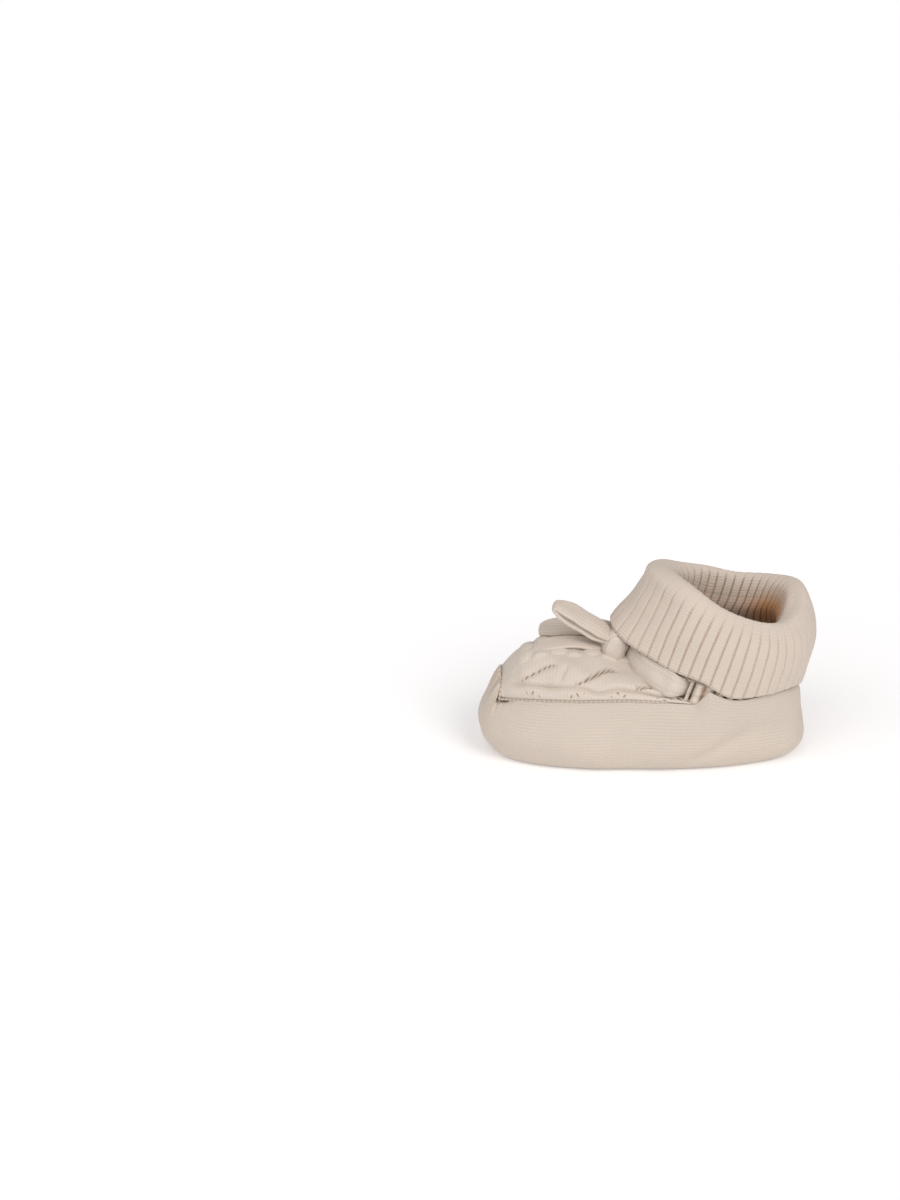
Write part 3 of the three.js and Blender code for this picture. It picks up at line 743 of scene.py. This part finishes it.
def loop_path(root, reach, across, length, spread):
    """The centreline of a bow loop from its root to its tip and back, the way across its tape, and
    how far along the loop each point is (0 at the root, 1 at the tip)."""
    along = unit(np.array(reach, float))
    wide = np.array(across, float)
    wide = unit(wide - along * wide.dot(along))
    rise = unit(np.cross(wide, along))
    steps = 240
    a = np.arange(steps) / steps * 2 * math.pi
    far = (1 - np.cos(a)) / 2
    up = np.sin(a) * (1.1 + (spread - 1.1) * far**0.7)
    centre = np.array(root) + along * (length * far)[:, None] + rise * up[:, None]
    return centre, wide, far


def bow_loop(name, root, reach, across, length, spread, twist, seed):
    """A loop of tape, narrow in the knot and at its tip; twist is its turn at the tip."""
    centre, wide, far = loop_path(root, reach, across, length, spread)
    turn = math.radians(twist) * far
    along = unit(np.array(reach, float))
    wide = np.array([Matrix.Rotation(t, 3, Vector(along)) @ Vector(wide) for t in turn])
    half = mix(2.6, TAPE_HALF, smooth(far, 0.0, 0.3)) * (1 - 0.34 * np.clip(4 * far - 3, 0, 1) ** 2)
    return ribbon(name, centre, wide, half, seed, thick=2.3, closed=True, plump=0.8)


def bow_tail(name, points, across, seed):
    """A tape end, narrow in the knot and rounded at its tip."""
    v = np.linspace(0, 1, 150)
    centre = catmull(points, v)
    half = mix(2.2, TAPE_HALF - 0.3, smooth(v, 0.0, 0.28)) * (1 - 0.3 * np.clip(8 * v - 7, 0, 1) ** 2)
    wide = np.broadcast_to(np.array(across, float), centre.shape)
    return ribbon(name, centre, wide, half, seed, thick=1.9, curl=0.2, plump=0.8)


def knot():
    """The knot: tape wrapped over the crossing, pleated and soft."""
    centre = leg_point(6.5, -3.0, band_height(0.0) + 0.8).reshape(3)
    out = np.array([0, -math.cos(LEG_TILT), math.sin(LEG_TILT)])
    half_across, half_out, half_up = 5.4, 3.9, 5.6
    rows, cols = 110, 150
    t = np.linspace(0, math.pi, rows)[:, None]
    b = np.arange(cols)[None] / cols * 2 * math.pi
    x = half_across * signed_power(np.cos(t), 0.9) + 0 * b
    ring = np.sin(t) ** 0.6
    pleat = 1 + 0.07 * np.cos(2 * math.pi * x / 1.15 + 0.8 * np.sin(2 * b)) * np.sin(t)
    y = half_out * ring * pleat * signed_power(np.cos(b), 0.8)
    z = half_up * ring * pleat * signed_power(np.sin(b), 0.8)
    p = centre + x[..., None] * [1, 0, 0] + y[..., None] * out + z[..., None] * LEG_UP
    p = p + (0.35 * lumps(p, 6, 52))[..., None] * unit(p - centre)
    uv = uv_grid(np.linspace(0, 20, cols + 1), np.linspace(0, 10, rows))
    # Painted shade in the folds of the pleats.
    painted_shade = np.clip(2 * (1.02 - pleat), 0, 0.3) + 0 * b
    return tidy(grid_object("bow_knot_tape", p, uv, painted_shade, wrap_u=True))


def chain_seam(name, centre, radius, bead):
    """A linking seam: a cord of small chain stitches, each bead long, along centre."""
    length = arc(centre[None], 1)[0]
    n, m = int(length[-1] / 0.16), 14
    run = np.linspace(0, length[-1], n)
    centre = np.stack([np.interp(run, length, centre[:, k]) for k in range(3)], -1)
    stitch = np.abs(np.sin(math.pi * run / bead))
    swell = radius * (0.78 + 0.3 * stitch)
    swell *= np.minimum(1, np.minimum(run, run[-1] - run) / 0.8 + 0.05) ** 0.5
    ahead = unit(np.gradient(centre, axis=0))
    side = unit(np.cross(ahead, [0, 0, 1.0]))
    up = unit(np.cross(side, ahead))
    a = np.arange(m) / m * 2 * math.pi
    p = centre[:, None] + swell[:, None, None] * (
        side[:, None] * np.cos(a)[None, :, None] + up[:, None] * np.sin(a)[None, :, None]
    )
    uv = uv_grid(np.linspace(0, 4, m + 1), run)
    # Painted shade between the chain's beads.
    painted_shade = np.broadcast_to((0.5 - 0.5 * stitch)[:, None], (n, m))
    return tidy(grid_object(name, p, uv, painted_shade, wrap_u=True))


def instep_seam():
    """The seam just inside the foot's rim, from one side eyelet round the toe to the other."""
    u = np.linspace(-94, 94, 400)
    inward = unit(spine(u) - outline(u))
    lift = mix(-0.15, -0.1, smooth(np.abs(u), 12, 40))
    centre = rim(u) + inward * 0.55 + [0, 0, 1] * lift[:, None]
    return chain_seam("instep_seam_chain", centre, radius=0.42, bead=1.5)


def sole_seam():
    """The seam allowance along the middle of the sole, inside the foot."""
    y = np.linspace(-38, 40, 100)
    centre = np.stack([0 * y, y, 0 * y + FABRIC + 0.7], -1)
    return chain_seam("sole_seam_chain", centre, radius=0.8, bead=2.0)


# ---- Materials ----


class Nodes:
    """Short helpers for building a material's nodes."""

    def __init__(self, name):
        self.material = bpy.data.materials.new(name)
        self.material.use_nodes = True
        self.tree = self.material.node_tree
        self.shader = self.tree.nodes["Principled BSDF"]

    def node(self, kind, **settings):
        made = self.tree.nodes.new("ShaderNode" + kind)
        for key, value in settings.items():
            setattr(made, key, value)
        return made

    def link(self, value, socket):
        if isinstance(value, bpy.types.NodeSocket):
            self.tree.links.new(value, socket)
        else:
            socket.default_value = value

    def maths(self, operation, *values):
        made = self.node("Math", operation=operation)
        for value, socket in zip(values, made.inputs):
            self.link(value, socket)
        return made.outputs[0]

    def hump(self, x):
        """A parabola over each whole step of x: 0 at the ends and 1 in the middle."""
        part = self.maths("FRACT", x)
        doubled = self.maths("MULTIPLY_ADD", part, 2.0, -1.0)
        return self.maths("SUBTRACT", 1.0, self.maths("MULTIPLY", doubled, doubled))

    def noise(self, scale, detail, vector):
        made = self.node("TexNoise")
        made.inputs["Scale"].default_value = scale
        made.inputs["Detail"].default_value = detail
        self.link(vector, made.inputs["Vector"])
        return made.outputs["Fac"]


def knit_material(slot, colour, wale, course, depth, shade_colour=(0.62, 0.50, 0.38)):
    """Matte cotton knit: V-shaped stitches wale wide and course high (millimetres), soft fuzz,
    painted warm shade in the grooves and between yarns, and slow changes of tone. depth is the
    bump's."""
    n = Nodes(slot)
    uv = n.node("SeparateXYZ")
    n.link(n.node("UVMap", uv_map="knit").outputs[0], uv.inputs[0])
    place = n.node("TexCoord").outputs["Object"]
    wobble = n.maths("MULTIPLY_ADD", n.noise(240, 2, place), 0.5, -0.25)
    x = n.maths("ADD", n.maths("MULTIPLY", uv.outputs[0], 1 / wale), wobble)
    y = n.maths("ADD", n.maths("MULTIPLY", uv.outputs[1], 1 / course), wobble)
    legs = n.maths("ABSOLUTE", n.maths("MULTIPLY_ADD", n.maths("FRACT", x), 2.0, -1.0))
    row = n.hump(n.maths("MULTIPLY_ADD", legs, 0.55, y))
    column = n.hump(n.maths("MULTIPLY", x, 2.0))
    stitch = n.maths("MULTIPLY", n.maths("SQRT", row), n.maths("MULTIPLY_ADD", column, 0.6, 0.4))
    fuzz = n.noise(2600, 3, place)
    height = n.maths("MULTIPLY_ADD", fuzz, 0.45, stitch)
    bump = n.node("Bump")
    bump.inputs["Strength"].default_value = depth
    bump.inputs["Distance"].default_value = 0.00035
    n.link(height, bump.inputs["Height"])
    n.link(bump.outputs[0], n.shader.inputs["Normal"])

    painted_shade = n.node("Attribute", attribute_name="painted_shade").outputs["Fac"]
    tone = n.noise(55, 3, place)
    light = n.node("Mix", data_type="RGBA", blend_type="MIX")
    n.link(tone, light.inputs["Factor"])
    n.link((*[c * 0.94 for c in colour], 1), light.inputs["A"])
    n.link((*[min(1.0, c * 1.03) for c in colour], 1), light.inputs["B"])
    # Painted shade: the colour goes towards the shade colour in grooves and between stitches.
    yarn = n.node("Mix", data_type="RGBA", blend_type="MULTIPLY")
    gap = n.maths("MULTIPLY_ADD", stitch, -0.22, 0.20)
    shade_amount = n.maths("MAXIMUM", n.maths("ADD", painted_shade, gap), 0.0)
    n.link(n.maths("MINIMUM", shade_amount, 1.0), yarn.inputs["Factor"])
    n.link(light.outputs["Result"], yarn.inputs["A"])
    n.link((*shade_colour, 1), yarn.inputs["B"])
    n.link(yarn.outputs["Result"], n.shader.inputs["Base Color"])
    n.shader.inputs["Roughness"].default_value = 0.95
    n.shader.inputs["Specular IOR Level"].default_value = 0.12
    n.shader.inputs["Sheen Weight"].default_value = 0.18
    n.shader.inputs["Sheen Roughness"].default_value = 0.45
    n.shader.inputs["Sheen Tint"].default_value = (1.0, 0.96, 0.92, 1)
    return n.material


CREAM, LIGHT_CREAM = (0.63, 0.562, 0.489), (0.65, 0.584, 0.512)
DARK_CREAM, PALE_CREAM = (0.61, 0.54, 0.465), (0.685, 0.617, 0.543)
# The rib knit's painted shade colour, warm for the bounced light and shade down inside the leg.
WARM_SHADE_COLOUR = (0.76, 0.43, 0.23)

MATERIALS = {
    slot: knit_material(slot, *look)
    for slot, look in {
        "foot_knit": (CREAM, 1.15, COURSE, 0.28),
        "lace_knit": (LIGHT_CREAM, 1.1, COURSE, 0.20),
        "rib_knit": (CREAM, 1.28, 1.0, 0.28, WARM_SHADE_COLOUR),
        "seam_yarn": (DARK_CREAM, 0.9, 0.8, 0.5),
        "tape_knit": (PALE_CREAM, 1.25, 0.8, 0.40),
    }.items()
}


def place_piece(piece, slot, body, *nodes):
    """Gives a piece its slot's material, hangs it on its body's empty and hides the CAD nodes it
    shows. The leg has no body of its own here."""
    piece.data.materials.clear()
    piece.data.materials.append(MATERIALS[slot])
    if body:
        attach(piece, body)
    if nodes:
        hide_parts(*nodes)
    return piece


# ---- Camera, floor and light ----

FRAME_HEIGHT = 1200  # pixels, of a 900 pixel wide frame
PIXELS_PER_MM = 3.1  # at the bootie
LENS, SENSOR = 100.0, 36.0  # millimetres; the sensor's size is the frame's height
CAMERA_ELEVATION = math.radians(22.5)
OFF_RIGHT, OFF_DOWN = 63.0, 46.8  # where the bootie's origin lies from the middle of the view
SUN_COLOUR = (1, 0.985, 0.975)


def camera():
    """A camera that looks from the near side (+X) with the toe on the left."""
    e = CAMERA_ELEVATION
    forward = np.array([-math.cos(e), 0, -math.sin(e)])
    up = np.array([-math.sin(e), 0, math.cos(e)])
    right = np.array([0, 1.0, 0])
    distance = (FRAME_HEIGHT / PIXELS_PER_MM) * LENS / SENSOR
    aim = -OFF_RIGHT * right + OFF_DOWN * up
    data = bpy.data.cameras.new("camera")
    data.lens, data.sensor_width = LENS, SENSOR
    data.clip_start, data.clip_end = 0.05, 20
    made = bpy.data.objects.new("camera", data)
    bpy.context.collection.objects.link(made)
    made.location = (aim - forward * distance) * MM
    made.rotation_euler = Vector(forward).to_track_quat("-Z", "Y").to_euler()
    bpy.context.scene.camera = made


def floor():
    """A plain pale floor, four metres out each way."""
    mesh = bpy.data.meshes.new("floor")
    size = 4.0
    corners = [(-size, -size, 0), (size, -size, 0), (size, size, 0), (-size, size, 0)]
    mesh.from_pydata(corners, [], [(0, 1, 2, 3)])
    made = bpy.data.objects.new("floor", mesh)
    bpy.context.collection.objects.link(made)
    n = Nodes("floor_paint")
    n.shader.inputs["Base Color"].default_value = (0.93, 0.93, 0.935, 1)
    n.shader.inputs["Roughness"].default_value = 0.9
    n.shader.inputs["Specular IOR Level"].default_value = 0.1
    n.shader.inputs["Emission Color"].default_value = (1, 1, 1, 1)
    n.shader.inputs["Emission Strength"].default_value = 0.175
    mesh.materials.append(n.material)


def soft_sun(name, azimuth, elevation, strength, angle):
    """A sun as wide as angle, seen from the bootie at azimuth (from the toe) and elevation."""
    a, e = math.radians(azimuth), math.radians(elevation)
    away = Vector((math.sin(a) * math.cos(e), -math.cos(a) * math.cos(e), math.sin(e)))
    data = bpy.data.lights.new(name, "SUN")
    data.energy, data.angle, data.color = strength, math.radians(angle), SUN_COLOUR
    made = bpy.data.objects.new(name, data)
    bpy.context.collection.objects.link(made)
    made.location = away
    made.rotation_euler = away.to_track_quat("Z", "Y").to_euler()


def lights():
    world = bpy.data.worlds.new("studio")
    world.use_nodes = True
    sky = world.node_tree.nodes["Background"]
    sky.inputs["Color"].default_value = (1.0, 0.968, 0.972, 1)
    sky.inputs["Strength"].default_value = 0.50
    bpy.context.scene.world = world
    soft_sun("key", azimuth=124, elevation=38, strength=1.25, angle=30)
    soft_sun("fill", azimuth=55, elevation=40, strength=0.88, angle=55)
    bpy.context.scene.view_settings.view_transform = "Standard"
    bpy.context.scene.view_settings.look = "None"


# ---- Assembly ----

camera()
floor()
lights()

place_piece(foot_shell(), "foot_knit", "shoe", "foot_shell")
place_piece(instep_panel(), "lace_knit", "shoe", "instep_panel")
place_piece(instep_seam(), "seam_yarn", "shoe", "instep_seam")
place_piece(sole_seam(), "seam_yarn", "shoe", "sole_seam")
place_piece(eyelet_band(), "lace_knit", "shoe", "eyelet_band")
place_piece(cuff(), "rib_knit", "cuff", "cuff")
leg = place_piece(ankle_rib(), "rib_knit", None, "ankle_rib")
# Two points on the leg's back, one low and one high; nothing in this script uses them.
foot_of_leg = leg_point(180.0, 10.0, 11.0) * MM
head_of_leg = leg_point(180.0, 10.0, 18.5) * MM
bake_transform(leg)
place_piece(tie_band(), "tape_knit", "shoe", "tie_band")
place_piece(knot(), "tape_knit", "shoe", "bow_knot")
place_piece(
    bow_loop("bow_loop_near_tape", *NEAR_LOOP, length=20.9, spread=1.5, twist=8.0, seed=41),
    "tape_knit", "loop_near", "bow_loop_near",
)
place_piece(
    bow_loop("bow_loop_far_tape", *FAR_LOOP, length=21.2, spread=1.4, twist=0.0, seed=42),
    "tape_knit", "loop_far", "bow_loop_far",
)
place_piece(
    bow_tail("bow_tail_front_tape", FRONT_TAIL, across=(1, 0.04, -0.12), seed=61),
    "tape_knit", "tail_front", "bow_tail_front",
)
place_piece(
    bow_tail("bow_tail_far_tape", FAR_TAIL, across=(-0.1, -0.95, 0), seed=62),
    "tape_knit", "tail_far", "bow_tail_far",
)
